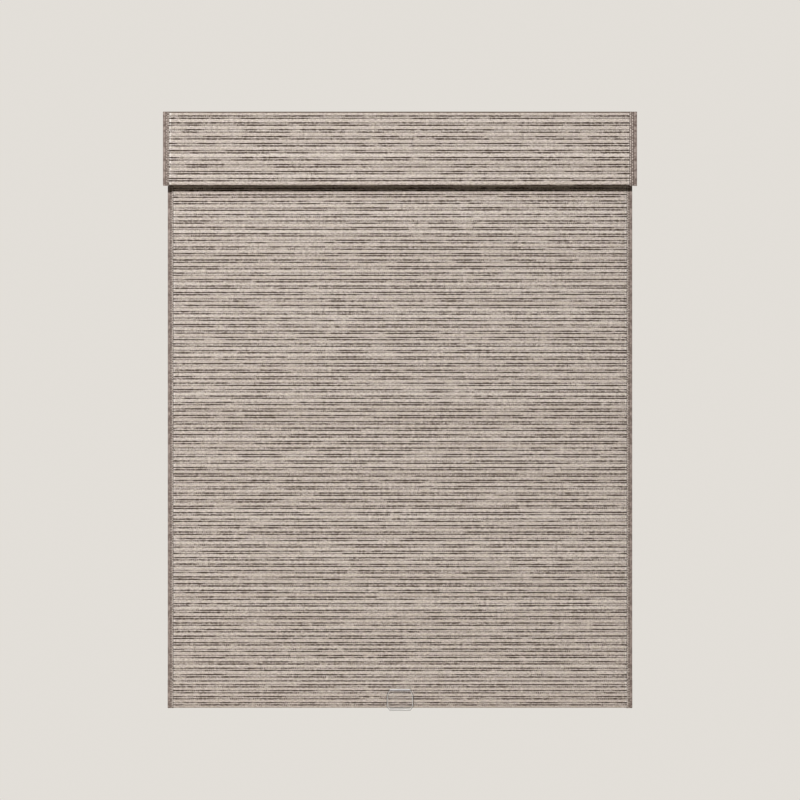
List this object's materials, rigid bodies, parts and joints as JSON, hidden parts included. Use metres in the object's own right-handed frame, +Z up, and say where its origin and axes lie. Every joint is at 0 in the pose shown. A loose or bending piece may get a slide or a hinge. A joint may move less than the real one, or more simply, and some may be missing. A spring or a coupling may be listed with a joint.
{
  "type": "woven wood shade",
  "caption": "Cordless woven wood window shade with a flat valance, taped edges, a spring roller in a headrail, a hem bar and a clear pull tab.",
  "frame": {"origin": "centre of the two clips' four screw holes, on the clips' top face, which meets the window head", "axes": "+X to the right seen from the room, -Y towards the room, +Z up"},
  "size_m": [0.914, 0.0854, 1.158],
  "materials": {
    "woven_mat": "woven reeds and paper yarn, matt",
    "binding_tape": "plain woven cotton tape",
    "rail_paint": "off-white powder coat",
    "mill_aluminium": "extruded, mill finish",
    "spring_steel": "bright spring steel",
    "zinc": "zinc plated",
    "plug_plastic": "moulded, matt",
    "board": "hardboard",
    "hook_tape": "hook and loop tape",
    "clear_plastic": "clear, polished"
  },
  "bodies": {
    "headrail_assembly": {"mounting_clip_left": "spring_steel", "mounting_clip_right": "spring_steel", "headrail": "rail_paint", "end_plate_left": "rail_paint", "end_plate_right": "rail_paint", "end_plate_screws_left": "zinc", "end_plate_screws_right": "zinc", "valance_board": "board", "valance_weave": "woven_mat", "valance_binding_left": "binding_tape", "valance_binding_right": "binding_tape", "hook_strip": "hook_tape", "loop_strip": "hook_tape", "spring_arbor": "zinc", "torsion_spring": "spring_steel", "woven_panel": "woven_mat", "panel_binding_left": "binding_tape", "panel_binding_right": "binding_tape"},
    "roller": {"roller_tube": "mill_aluminium", "fabric_spline": "plug_plastic", "spring_plug": "plug_plastic", "idler_plug": "plug_plastic", "pin_spring_seat": "plug_plastic", "pin_spring": "spring_steel"},
    "pin": {"idler_pin": "zinc"},
    "hem": {"hem_bar": "mill_aluminium", "hem_weave": "woven_mat", "hem_binding_left": "binding_tape", "hem_binding_right": "binding_tape", "hem_end_cap_left": "plug_plastic", "hem_end_cap_right": "plug_plastic", "pull_tab": "clear_plastic"}
  },
  "joints": [
    {"name": "lift", "type": "slide", "parent": "headrail_assembly", "child": "hem", "axis": [0, 0, 1], "range_m": [0, 0.96], "deforming": ["woven_panel", "panel_binding_left", "panel_binding_right"]},
    {"name": "roller_spin", "type": "hinge", "parent": "headrail_assembly", "child": "roller", "pos_m": [0, 0, -0.046], "axis": [-1, 0, 0], "range_deg": [0, 2160.1]},
    {"name": "pin_press", "type": "slide", "parent": "roller", "child": "pin", "axis": [-1, 0, 0], "range_m": [0, 0.006], "stiffness_N_per_m": 400, "springref_m": -0.004, "deforming": ["pin_spring"]}
  ],
  "couplings": [
    {"joint": "roller_spin", "follows": "lift", "rad_per_m": 39.27}
  ]
}
